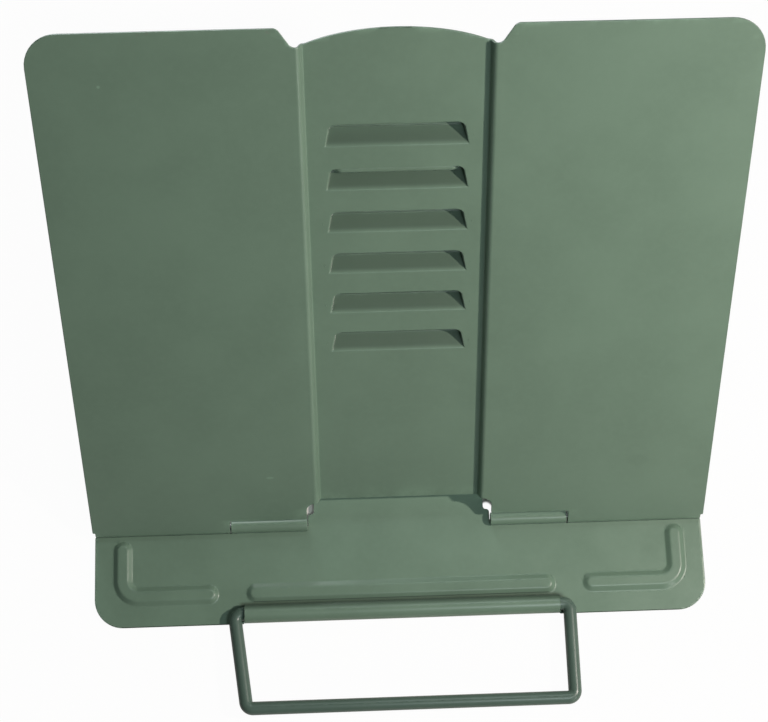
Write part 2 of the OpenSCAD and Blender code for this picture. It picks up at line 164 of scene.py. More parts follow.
class Shader:
    """Node tree of one material, or of the room's world, while it is being written."""

    def __init__(self, owner: bpy.types.ID, output: str = "ShaderNodeOutputMaterial") -> None:
        """Starts an empty tree.

        Args:
            owner: The new material or world.
            output: Type name of its output node.
        """
        self.owner = owner
        owner.use_nodes = True
        self.tree = owner.node_tree
        self.tree.nodes.clear()
        self.output = self.node(output)

    def node(self, kind: str, settings: dict[str, Any] | None = None,
             inputs: dict[Any, Any] | None = None) -> bpy.types.Node:
        """Adds any node: its settings first, then the values or links of its sockets.

        Args:
            kind: Type name of the node.
            settings: Properties of the node itself.
            inputs: Socket name or number, and what goes in: a value, a socket or a constant.

        Returns:
            The node.
        """
        made = self.tree.nodes.new(kind)
        for key, setting in (settings or {}).items():
            setattr(made, key, setting)
        for key, what in (inputs or {}).items():
            self.feed(made.inputs[key], what)
        return made

    def feed(self, socket: Any, what: Any) -> None:
        """Links or sets one socket.

        Args:
            socket: The input socket.
            what: A value, an output socket or a constant.
        """
        if isinstance(what, Value):
            what = what.socket
        if isinstance(what, bpy.types.NodeSocket):
            self.tree.links.new(what, socket)
        else:
            socket.default_value = what

    def place(self) -> Any:
        """Object coordinates, in metres."""
        return self.node("ShaderNodeTexCoord").outputs["Object"]

    def noise(self, pattern: Pattern) -> Value:
        """Noise on object coordinates.

        Args:
            pattern: What it looks like.

        Returns:
            The noise, from 0 to 1.
        """
        at = self.place()
        if pattern.stretch != (1, 1, 1):
            at = self.node("ShaderNodeMapping", inputs={"Vector": at, "Scale": pattern.stretch}).outputs[0]
        made = self.node("ShaderNodeTexNoise", inputs={
            "Vector": at, "Scale": 1 / (pattern.size * MM), "Detail": pattern.detail,
            "Roughness": pattern.rough})
        return Value(self, made.outputs[0])

    def mask(self, pattern: Pattern) -> Value:
        """Noise eased between the pattern's two stops."""
        return self.noise(pattern).step(*pattern.stops)

    def attribute(self, name: str) -> Value:
        """A number painted on the piece's own points."""
        made = self.node("ShaderNodeAttribute", {"attribute_name": name})
        return Value(self, made.outputs["Fac"])

    def blend(self, amount: Any, first: Any, second: Any) -> Any:
        """Mixes two colours, from the first at 0 to the second at 1."""
        made = self.node("ShaderNodeMix", {"data_type": "RGBA"}, {0: amount, 6: first, 7: second})
        return made.outputs[2]

    def distance(self, at: Point, stretch: Point) -> Value:
        """Distance from a point, counted in units that differ along each axis.

        Args:
            at: The point in the part's frame, in millimetres.
            stretch: Size of the unit along each axis, in millimetres.

        Returns:
            The distance.
        """
        found = self.place()
        for operation, term in (("SUBTRACT", at), ("DIVIDE", stretch)):
            found = self.node("ShaderNodeVectorMath", {"operation": operation},
                              {0: found, 1: [v * MM for v in term]}).outputs[0]
        length = self.node("ShaderNodeVectorMath", {"operation": "LENGTH"}, {0: found})
        return Value(self, length.outputs["Value"])

    def bump(self, height: Value, depth: float, strength: float = 1.0) -> Any:
        """Normal from a height, where 1 is a depth in millimetres."""
        return self.node("ShaderNodeBump", inputs={
            "Height": height, "Distance": depth * MM, "Strength": strength}).outputs[0]

    def surface(self, fixed: dict[str, Any], varying: dict[str, Any]) -> bpy.types.Material:
        """Closes the material with one Principled shader, from constant and linked sockets."""
        self.close(self.node("ShaderNodeBsdfPrincipled", inputs={**fixed, **varying}))
        return self.owner

    def close(self, shader: bpy.types.Node) -> None:
        """Links the last node to the tree's output."""
        self.tree.links.new(shader.outputs[0], self.output.inputs[0])


def srgb(shown: Point, tint: float = 1.0) -> Colour:
    """Linear colour from display values.

    Args:
        shown: Red, green and blue from 0 to 255.
        tint: How much lighter or darker the result is.

    Returns:
        The colour, by the display standard's own curve.
    """
    parts = [v / 255 for v in shown]
    linear = [v / 12.92 if v <= 0.04045 else ((v + 0.055) / 1.055) ** 2.4 for v in parts]
    return tuple(v * tint for v in linear) + (1.0,)


@dataclass(frozen=True)
class Mark:
    """A small rub, speck or scratch in the paint: place and size in millimetres, share and tint."""

    at: Point
    size: Point
    strength: float
    tint: float = 1.9


@dataclass(frozen=True)
class PowderCoat:
    """Satin grey-green powder coat on steel sheet or wire.

    A share says how strongly a mask covers the paint, a tint how light it makes it, and a rough how
    much it adds to the roughness. The rubbed edges are partly a painted highlight, and the recess
    tint is painted shade.
    """

    name: str
    colour: Point
    roughness: float
    marks: tuple[Mark, ...] = ()
    mark_core: float = 0.55
    cloud: Pattern = Pattern(34, 3, 0.55, (0.3, 0.7))
    cloud_low_tint: float = 0.955
    cloud_high_tint: float = 1.035
    fleck: Pattern = Pattern(2.6, 2, 0.6, (0.35, 0.75))
    fleck_share: float = 0.30
    fleck_tint: float = 1.09
    fleck_rough: float = 0.06
    grain: Pattern = Pattern(0.45, 1, 0.5, (0.66, 0.8))
    grain_share: float = 0.10
    grain_tint: float = 0.8
    grain_relief: float = 0.2
    # Rubbed edges: worn paint, and a painted highlight on the rims
    rub_and_highlight: Pattern = Pattern(9, 4, 0.62, (0.42, 0.66))
    rub_and_highlight_share: float = 0.55
    rub_and_highlight_tint: float = 1.42
    chipped: Pattern = Pattern(3.1, 4, 0.7, (0.66, 0.7))
    chipped_share: float = 0.8
    chipped_metal: float = 0.6
    bare: Point = (138, 138, 130)
    # Painted shade: how dark the paint gets in the pockets and creases
    recess_shade_tint: float = 0.4
    uneven: Pattern = Pattern(17, 3, 0.6)
    uneven_rough: float = 0.14
    peel: Pattern = Pattern(1.5, 2, 0.45)
    peel_relief: float = 0.8
    relief: float = 0.035
    relief_strength: float = 0.55

    def build(self) -> bpy.types.Material:
        """Writes the material.

        Returns:
            Paint with clouding, orange peel, handling marks, worn edges that also carry a painted
            highlight, and painted shade in pockets and creases.
        """
        s = Shader(bpy.data.materials.new(self.name))
        fleck = s.noise(self.fleck)
        grain = s.noise(self.grain)
        edge = s.attribute(EDGE)
        chip = edge * s.mask(self.chipped)
        colour = s.blend(s.mask(self.cloud), srgb(self.colour, self.cloud_low_tint),
                         srgb(self.colour, self.cloud_high_tint))
        covers = [
            (fleck.step(*self.fleck.stops) * self.fleck_share, self.fleck_tint),
            (grain.step(*self.grain.stops) * self.grain_share, self.grain_tint),
            # Rounded edges lightened: rubbed paint, and a painted highlight on the rims
            (edge * s.mask(self.rub_and_highlight) * self.rub_and_highlight_share, self.rub_and_highlight_tint),
        ]
        for share, tint in covers:
            colour = s.blend(share, colour, srgb(self.colour, tint))
        colour = s.blend(chip * self.chipped_share, colour, srgb(self.bare))
        # Painted shade: the paint darkens in the louvres' pockets and in the crease behind the rolled
        # front edge
        colour = s.blend(s.attribute(RECESS_SHADE), colour, srgb(self.colour, self.recess_shade_tint))
        for mark in self.marks:
            near = s.distance(mark.at, mark.size).step(1.0, self.mark_core)
            colour = s.blend(near * mark.strength, colour, srgb(self.colour, mark.tint))
        rough = ((s.noise(self.uneven) - NOISE_MEAN) * self.uneven_rough
                 + (fleck - NOISE_MEAN) * self.fleck_rough + self.roughness)
        peel = s.noise(self.peel) * self.peel_relief + grain * self.grain_relief
        return s.surface({"IOR": 1.5}, {
            "Base Color": colour, "Roughness": rough, "Metallic": chip * self.chipped_metal,
            "Normal": s.bump(peel, self.relief, self.relief_strength)})


@dataclass(frozen=True)
class DrawnSteel:
    """Bright drawn wire, with fine lines along it."""

    name: str
    line: Pattern = Pattern(0.12, 2, 0.5, stretch=(0.02, 1, 1))
    tarnish: Pattern = Pattern(4, 4, 0.6, (0.4, 0.75))
    tarnish_share: float = 0.6
    bright: Point = (188, 189, 190)
    dull: Point = (122, 116, 106)
    roughness: float = 0.2
    line_rough: float = 0.2
    tarnish_rough: float = 0.18
    relief: float = 0.008

    def build(self) -> bpy.types.Material:
        """Writes the material.

        Returns:
            Steel with draw lines and a little tarnish.
        """
        s = Shader(bpy.data.materials.new(self.name))
        line = s.noise(self.line)
        tarnish = s.mask(self.tarnish)
        return s.surface({"Metallic": 1.0}, {
            "Base Color": s.blend(tarnish * self.tarnish_share, srgb(self.bright), srgb(self.dull)),
            "Roughness": line * self.line_rough + tarnish * self.tarnish_rough + self.roughness,
            "Normal": s.bump(line, self.relief)})


@dataclass(frozen=True)
class Rubber:
    """Matt moulded rubber."""

    name: str
    dust: Pattern = Pattern(3, 4, 0.65, (0.45, 0.8))
    dust_share: float = 0.5
    dust_rough: float = 0.15
    grit: Pattern = Pattern(0.35, 2, 0.6)
    black: Point = (34, 34, 35)
    dusty: Point = (72, 70, 66)
    roughness: float = 0.72
    relief: float = 0.03

    def build(self) -> bpy.types.Material:
        """Writes the material.

        Returns:
            Dark rubber with dust and scuffs.
        """
        s = Shader(bpy.data.materials.new(self.name))
        dust = s.mask(self.dust)
        return s.surface({"IOR": 1.5}, {
            "Base Color": s.blend(dust * self.dust_share, srgb(self.black), srgb(self.dusty)),
            "Roughness": dust * self.dust_rough + self.roughness,
            "Normal": s.bump(s.noise(self.grit), self.relief)})


# ---------------------------------------------------------------- modelling helpers


def to_part() -> Matrix:
    """Matrix from millimetres in the hinge's frame to metres in the part's frame."""
    return Matrix.Scale(MM, 4) @ Matrix.Translation((0, -MIDDLE_Y, 0))


def held(share: float) -> float:
    """A share held between 0 and 1."""
    return min(1.0, max(0.0, share))


def stations(*runs: Run) -> list[float]:
    """Cut positions: each run goes from a start to an end in steps of about one size.

    Args:
        runs: Start, end and step of each run, in millimetres.

    Returns:
        The positions in ascending order, each once.
    """
    found: set[float] = set()
    for start, end, step in runs:
        count = max(1, round((end - start) / step))
        found.update(round(start + (end - start) * i / count, 4) for i in range(count + 1))
    return sorted(found)


@dataclass(frozen=True)
class Step:
    """Side view of a pressed step: a crest bend, a straight slope and a foot bend."""

    rise: float
    crest_r: float
    foot_r: float
    slope: float

    @property
    def straight(self) -> float:
        """Length of the slope between the two bends."""
        both = self.crest_r + self.foot_r
        return (self.rise - both * (1 - math.cos(self.slope))) / math.sin(self.slope)

    @property
    def run(self) -> float:
        """Horizontal length of the whole step."""
        both = self.crest_r + self.foot_r
        return both * math.sin(self.slope) + self.straight * math.cos(self.slope)

    def fall(self, q: float) -> float:
        """How far the surface has dropped at a distance from the crest's start.

        Args:
            q: Horizontal distance from where the crest starts to bend.

        Returns:
            The drop, from 0 to the step's rise.
        """
        if q <= 0:
            return 0.0
        if q >= self.run:
            return self.rise
        crest = self.crest_r * math.sin(self.slope)
        if q < crest:
            return self.crest_r - math.sqrt(self.crest_r ** 2 - q ** 2)
        foot = self.run - self.foot_r * math.sin(self.slope)
        if q > foot:
            left = self.run - q
            return self.rise - self.foot_r + math.sqrt(self.foot_r ** 2 - left ** 2)
        return self.crest_r * (1 - math.cos(self.slope)) + (q - crest) * math.tan(self.slope)


def rolled(length: float, r: float) -> tuple[float, float]:
    """Where a strip's point lands, at a length from where the strip starts to roll: along and across."""
    turn = length / r
    return r * math.sin(turn), r * math.cos(turn)


def round_edges(bm: Mesh, edges: Edges, width: float, segments: int = 3) -> list[bmesh.types.BMVert]:
    """Rounds edges by a width on each side, and gives the rounding's points."""
    return bmesh.ops.bevel(bm, geom=edges, offset=width, offset_type="OFFSET", segments=segments,
                           profile=0.5, affect="EDGES", material=-1, clamp_overlap=False)["verts"]


@dataclass
class Blank:
    """A flat sheet that is cut out, ruled into a grid, pressed into shape and thickened.

    A corner whose setback is over wide_setback is the dome's long curve and gets more facets.
    """

    bm: Mesh = field(default_factory=bmesh.new)
    wide_setback: float = 20.0
    wide_factor: int = 4

    def outline(self, corners: Sequence[Point], segments: int = 10) -> None:
        """Cuts the blank out: one face with round corners.

        Args:
            corners: X, Y and corner setback of each corner, anticlockwise.
            segments: Facets in each round corner.
        """
        verts = [bmesh.ops.create_vert(self.bm, co=(x, y, 0))["vert"][0] for x, y, _ in corners]
        sides = [self.bm.edges.new((verts[i - 1], verts[i])) for i in range(len(verts))]
        face = bmesh.ops.contextual_create(self.bm, geom=sides)["faces"][0]
        face.normal_update()
        if face.normal.z < 0:
            bmesh.ops.reverse_faces(self.bm, faces=[face])
        for vert, (_, _, setback) in zip(verts, corners):
            if setback > 0:
                count = segments * (self.wide_factor if setback > self.wide_setback else 1)
                bmesh.ops.bevel(self.bm, geom=[vert], offset=setback, offset_type="OFFSET",
                                segments=count, profile=0.5, affect="VERTICES", material=-1)

    def rule(self, axis: int, at: Iterable[float]) -> None:
        """Cuts the faces along lines across one axis.

        Args:
            axis: 0 for cuts at X positions, 1 for cuts at Y positions.
            at: The positions.
        """
        bm = self.bm
        normal = Vector((1, 0, 0)) if axis == 0 else Vector((0, 1, 0))
        for position in at:
            bmesh.ops.bisect_plane(bm, geom=bm.verts[:] + bm.edges[:] + bm.faces[:], dist=CUT_MERGE,
                                   plane_co=normal * position, plane_no=normal)

    def rule_columns(self, runs: Sequence[Run]) -> None:
        """Cuts the faces along columns on the right, the same on the left, and the middle."""
        right = [x for x in stations(*runs) if x > 0]
        self.rule(0, right + [-x for x in right] + [0])

    def remove(self, inside: Callable[[Vector], bool]) -> None:
        """Removes the faces whose middle passes a test."""
        gone = [f for f in self.bm.faces if inside(f.calc_center_median())]
        bmesh.ops.delete(self.bm, geom=gone, context="FACES")

    def press(self, form: Callable[[Vector], Vector], recess: Callable[[Vector], float]) -> Mesh:
        """Presses the flat sheet into shape and gives it its thickness.

        Args:
            form: Pressed place of a point of the flat sheet.
            recess: How much painted shade darkens the paint at a pressed point, from 0 to 1.

        Returns:
            Closed mesh in millimetres, with the painted shade of its recesses marked.
        """
        for vert in self.bm.verts:
            vert.co = form(vert.co.copy())
        bmesh.ops.remove_doubles(self.bm, verts=self.bm.verts[:], dist=MERGE)
        bm = thickened(self.bm)
        # Painted shade: how much each point's paint is darkened
        layer = bm.verts.layers.float.new(RECESS_SHADE)
        for vert in bm.verts:
            vert[layer] = recess(vert.co)
        return bm


@dataclass(frozen=True)
class Piece:
    """Name, body, CAD node and finish of one visible piece."""

    name: str
    body: Body
    node: str
    slot: Slot

    def place(self, bm: Mesh, material: bpy.types.Material, stand: Matrix = Matrix()) -> None:
        """Turns the mesh into the finished object at the origin, on its body.

        Args:
            bm: Mesh in millimetres. It is freed.
            material: Finish.
            stand: Where the mesh stands in the hinge's frame, in millimetres.
        """
        bmesh.ops.transform(bm, matrix=to_part() @ stand, verts=bm.verts[:])
        for layer in (EDGE, RECESS_SHADE):
            if layer not in bm.verts.layers.float:
                bm.verts.layers.float.new(layer)
        for face in bm.faces:
            face.smooth = True
        for edge in bm.edges:
            edge.smooth = len(edge.link_faces) == 2 and edge.calc_face_angle(0) < SMOOTH_ANGLE
        mesh = bpy.data.meshes.new(self.name)
        bm.to_mesh(mesh)
        bm.free()
        mesh.materials.append(material)
        made = bpy.data.objects.new(self.name, mesh)
        bpy.context.scene.collection.objects.link(made)
        weighted = made.modifiers.new("weighted", "WEIGHTED_NORMAL")
        weighted.keep_sharp = True
        weighted.weight = SMOOTH_WEIGHT
        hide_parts(self.node)
        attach(made, self.body.value)
        LOG.info("%s: %d faces on %s", self.name, len(mesh.polygons), self.body.value)


def thickened(front: Mesh) -> Mesh:
    """Gives a pressed surface the sheet's thickness behind it and rounds its cut edges.

    Args:
        front: Open surface in millimetres whose faces point to the front. It is freed.

    Returns:
        Closed mesh in millimetres, whose rounded edges are marked for worn paint and a painted highlight.
    """
    mesh = bpy.data.meshes.new("pressing")
    front.to_mesh(mesh)
    front.free()
    holder = bpy.data.objects.new("pressing", mesh)
    bpy.context.scene.collection.objects.link(holder)
    solid = holder.modifiers.new("solid", "SOLIDIFY")
    solid.thickness = SHEET
    solid.offset = -1
    solid.use_even_offset = True
    solid.use_rim = True
    shaped = holder.evaluated_get(bpy.context.evaluated_depsgraph_get()).to_mesh()
    bm = bmesh.new()
    bm.from_mesh(shaped)
    bpy.data.objects.remove(holder)
    bpy.data.meshes.remove(mesh)
    # Rounded cut edges, marked for worn paint and a painted highlight
    rounded_edge = bm.verts.layers.float.new(EDGE)
    rim = [e for e in bm.edges if len(e.link_faces) == 2 and e.calc_face_angle(0) > CUT_ANGLE]
    for vert in round_edges(bm, rim, CUT_EDGE, segments=2):
        vert[rounded_edge] = 1.0
    return bm


# ---------------------------------------------------------------- sub-assemblies


@dataclass
class BackPanel:
    """Back panel: two wings, a sunk channel with six louvres, a dome and two rolled knuckles.

    A size ending in _t is a height over the hinge axis along the panel, and one ending in _column is
    where a bend of a louvre's side wall starts or ends on the flat blank. The pull_ sizes say how far
    the blank follows an opening's edge, the wave sizes how uneven the sheet is, and the dark_ sizes
    where painted shade darkens the paint in a louvre's pocket. Columns and rows are the lines that
    rule the blank.
    """

    half_w: float = 122.49
    height: float = 215.0
    corner_r: float = 12.0
    face: float = 2.55
    knuckle_r: float = 2.55
    knuckle_turn: float = math.radians(296.8)
    channel_half: float = 30.7
    wall_half: float = 33.4
    channel_start: float = 12.8
    dome_top: float = 213.8
    dome_end_r: float = 1.1
    dome_trim: float = 1.4
    notch_t: float = 208.0
    notch_slope: float = math.radians(57)
    notch_bend_r: float = 2.6
    hem: float = 5.1
    hem_r: float = 0.7
    end_t: float = 0.9
    end_r: float = 0.5
    nick_r: float = 0.3
    relief_r: float = 3.4
    knuckle_start: float = 67.8
    louvres: int = 6
    louvre_first: float = 84.3
    pitch: float = 17.1
    louvre_h: float = 8.4
    low_half: float = 24.5
    top_half: float = 22.9
    corner: float = 2.0
    flap_t: float = 5.4
    flap_depth: float = 4.95
    wall: Step = Step(3.0, 1.9, 0.5, math.radians(70))
    wall_crest: float = 33.67
    bend_r: float = 0.7
    crest_r: float = 0.6
    foot_r: float = 0.4
    side_slope: float = math.radians(84)
    side_least: float = 0.01
    side_settle: float = 0.5
    crest_column: float = 25.75
    foot_column: float = 23.3
    floor_column: float = 22.6
    pull_column: float = 29.6
    pull_over: float = 5.0
    corner_fade: float = 1.6
    louvre_below: float = 3.0
    hair: float = 0.001
    broad_wave: tuple[float, float, float, float] = (0.10, 31, 0.7, 47)
    fine_wave: tuple[float, float, float] = (0.05, 17, 23)
    wave_full_t: float = 30.0
    wave_wing: float = 36.0
    wave_channel_share: float = 0.3
    # Painted shade in the louvres' pockets
    dark_over: float = 1.2
    dark_beside: float = 0.3
    dark_start: float = -0.6
    dark_run: float = 0.9
    dark_most: float = 0.62
    columns: tuple[Run, ...] = (
        (0, 20, 5), (20, 22.6, 1.3), (22.6, 23.3, 0.175), (23.3, 24.5, 0.3), (24.5, 25.75, 0.18),
        (25.75, 30, 1.1), (30.1, 34.0, 0.19), (34, 36.8, 1.4), (36.8, 67.8, 6.2), (67.8, 121.5, 6),
        (121.5, 122.3, 0.8))
    plain_rows: tuple[Run, ...] = ((3, 12.8, 3.2), (12.8, 82, 6.5), (186, 207.2, 5.3), (208.5, 213.1, 2.3))
    knuckle_step: float = 0.4
    louvre_rows: tuple[Run, ...] = (
        (-2.2, -0.8, 0.7), (-0.35, 0.35, 0.09), (0.5, 5.2, 0.47), (5.2, 8.6, 0.34), (8.4, 14.0, 1.8))

    @property
    def roll(self) -> float:
        """Length of the strip that is rolled into a knuckle."""
        return self.knuckle_r * self.knuckle_turn

    def corners(self) -> list[Point]:
        """Corners of the blank.

        Returns:
            X, Y and setback of each corner, anticlockwise.
        """
        bend = self.notch_bend_r * math.tan(self.notch_slope / 2)
        climb = self.height - self.notch_t
        lower = self.wall_half + bend
        upper = lower + climb / math.tan(self.notch_slope)
        relief = self.wall_half + self.relief_r
        half = [
            (relief, self.channel_start, self.relief_r),
            (relief, self.hem, self.hem_r),
            (self.knuckle_start, self.hem, self.nick_r),
            (self.knuckle_start, -self.roll, 0),
            (KNUCKLES_END, -self.roll, 0),
            (KNUCKLES_END, self.end_t, self.nick_r),
            (self.half_w, self.end_t, self.end_r),
            (self.half_w, self.height, self.corner_r),
            (upper, self.height, bend),
            (lower, self.notch_t, bend),
            (self.channel_half, self.notch_t, self.dome_end_r),
        ]
        rise = self.dome_top - self.notch_t
        dome_r = (self.channel_half ** 2 + rise ** 2) / (2 * rise)
        turn = math.asin(self.channel_half / dome_r)
        crown = (0.0, self.notch_t + self.channel_half * math.tan(turn),
                 dome_r * math.tan(turn) - self.dome_trim)
        return half + [crown] + [(-x, y, r) for x, y, r in reversed(half)]

    def side(self, v: float) -> float:
        """Half width of the opening at a height over a louvre's lower edge."""
        return self.low_half - (self.low_half - self.top_half) * max(v, 0.0) / self.louvre_h

    def flap(self, v: float) -> float:
        """Depth of the flap behind the floor.

        Args:
            v: Height over the louvre's lower edge.

        Returns:
            The depth: a bend, then a straight slope that the free edge cuts off.
        """
        slope = math.atan2(self.flap_depth, self.flap_t)
        bend = Step(2 * self.flap_depth, self.bend_r, 0.0, slope)
        return bend.fall(min(v, self.flap_t) + self.bend_r * math.tan(slope / 2))

    def strip(self, x: float, v: float) -> Point:
        """Place of a point of a flap or of its side wall.

        Args:
            x: Distance from the middle on the blank.
            v: Height over the louvre's lower edge, up to the flap's free edge.

        Returns:
            Distance from the middle, height over the louvre's lower edge, and depth.
        """
        deep = self.flap(v)
        both = self.crest_r + self.foot_r
        slope = math.acos(max(math.cos(self.side_slope), 1 - deep / both))
        wall = Step(deep, self.crest_r, self.foot_r, max(slope, self.side_least))
        crest = self.side(v) + self.crest_r
        turned = self.crest_r * math.sin(slope)
        last = self.foot_r * math.sin(slope)
        run = wall.run if deep > 0 else 0.0
        crest_w, slope_w = self.crest_column - self.low_half, self.low_half - self.foot_column
        if x >= self.low_half:
            q = self.crest_r * math.sin(slope * (self.crest_column - x) / crest_w)
        elif x >= self.foot_column:
            q = turned + (run - last - turned) * (self.low_half - x) / slope_w
        elif x >= self.floor_column:
            across = (x - self.floor_column) / (self.foot_column - self.floor_column)
            q = run - self.foot_r * math.sin(slope * across)
        else:
            q = crest - x / self.floor_column * (crest - run)
        flat = x - self.low_half + self.side(v)
        px = flat + (crest - q - flat) * min(1.0, deep / self.side_settle)
        if x > self.crest_column:
            pull = self.side(v * self.lift) + self.crest_r - self.crest_column
            return x + pull * self.fade(x, self.crest_column), v, 0.0
        depth = wall.fall(crest - px) if deep > 0 else 0.0
        share = 1 - depth / deep if deep > 0 else 1.0
        up = max(v, 0.0) * (self.lift - 1) * share
        return px - self.side(v) + self.side(v + up), v + up, depth

    @property
    def lift(self) -> float:
        """How far a side wall reaches above the flap's free edge, as a factor."""
        return (self.louvre_h - self.corner) / self.flap_t

    def fade(self, x: float, start: float) -> float:
        """Share of an opening's pull that is left beside it, from all at start to none."""
        return held((self.pull_column - x) / (self.pull_column - start))

    def pocket(self, x: float, t: float) -> Point:
        """Where a point of the channel's floor goes when the louvres are pressed.

        Args:
            x: Distance from the middle.
            t: Height over the hinge axis.

        Returns:
            New distance from the middle, new height, and depth behind the floor.
        """
        index = math.floor((t - self.louvre_first + self.louvre_below) / self.pitch)
        if x > self.pull_column or not 0 <= index < self.louvres:
            return x, t, 0.0
        v = t - self.louvre_first - index * self.pitch
        base = t - v
        if v <= self.flap_t + self.hair:
            px, up, depth = self.strip(x, v)
            if x > self.crest_column:
                up = v + max(v, 0.0) * (self.lift - 1) * self.fade(x, self.crest_column)
            return px, base + up, depth
        narrow = self.side(self.louvre_h) - self.corner
        beside = self.fade(x, self.low_half)
        if v > self.louvre_h - self.hair:
            left = max(0.0, 1 - (v - self.louvre_h) / self.pull_over)
            pull = (narrow / self.low_half - 1) * min(x, self.low_half)
            return x + pull * left * beside, t, 0.0
        share = (v - self.flap_t) / (self.louvre_h - self.flap_t)
        turn = share * math.pi / 2
        start = (self.side(self.louvre_h - self.corner), self.louvre_h - self.corner)
        edge = (narrow + (start[0] - narrow) * math.cos(turn) - self.low_half,
                start[1] + self.corner * math.sin(turn) - v)
        row = self.pocket(x, base + self.flap_t)
        extra = (row[0] - x - (start[0] - self.low_half) * beside,
                 row[1] - base - self.flap_t - (start[1] - self.flap_t) * beside)
        return (x + edge[0] * beside + extra[0] * (1 - share),
                t + edge[1] * beside + extra[1] * (1 - share),
                row[2] * max(0.0, 1 - share * self.corner_fade) ** 2)

    def form(self, co: Vector) -> Vector:
        """Pressed place of a point of the blank.

        Args:
            co: Point of the flat blank.

        Returns:
            Place in panel coordinates: across, up and forward.
        """
        x, t = co.x, co.y
        if t < 0:
            out, up = rolled(-t, self.knuckle_r)
            return Vector((x, -out, up))
        side = abs(x)
        sunk = self.wall.fall(self.wall_crest - side)
        side, t, deep = self.pocket(side, t)
        height, across, start, along = self.broad_wave
        wave = height * math.sin(side / across + start) * math.sin(t / along)
        height, across, along = self.fine_wave
        wave += height * math.sin(x / across + t / along)
        hold = min(1.0, t / self.wave_full_t) * (1 if side > self.wave_wing else self.wave_channel_share)
        return Vector((math.copysign(side, x), t, self.face - sunk - deep + wave * hold))

    def pocket_shade_share(self, co: Vector) -> float:
        """How much painted shade darkens the paint in a louvre's pocket.

        Args:
            co: Point of the pressed panel.

        Returns:
            The share, from 0 to 1.
        """
        v = (co.y - self.louvre_first) % self.pitch
        span = self.louvre_first < co.y < self.louvre_first + self.pitch * self.louvres
        if not span or v > self.flap_t + self.dark_over or abs(co.x) > self.low_half + self.dark_beside:
            return 0.0
        return held((self.dark_start - co.z) / self.dark_run) * self.dark_most

    def build(self, material: bpy.types.Material) -> None:
        """Makes the panel.

        Args:
            material: Paint.
        """
        blank = Blank()
        blank.outline(self.corners())
        blank.rule_columns(self.columns)
        rows = stations((-self.roll, 0, self.knuckle_step), *self.plain_rows)
        for i in range(self.louvres):
            low = self.louvre_first + i * self.pitch
            rows += stations(*((low + start, low + end, step) for start, end, step in self.louvre_rows))
        blank.rule(1, sorted(set(rows)))
        first, pitch = self.louvre_first, self.pitch
        blank.remove(lambda c: abs(c.x) < self.low_half and c.y > first
                     and c.y < first + pitch * self.louvres
                     and self.flap_t < (c.y - first) % pitch < self.louvre_h)
        stand = Matrix.Translation((0, 0, HINGE_Z)) @ Matrix.Rotation(REST_ANGLE, 4, "X")
        Piece("back_panel_sheet", Body.PANEL, "back_panel", Slot.SHEET).place(
            blank.press(self.form, self.pocket_shade_share), material, stand)


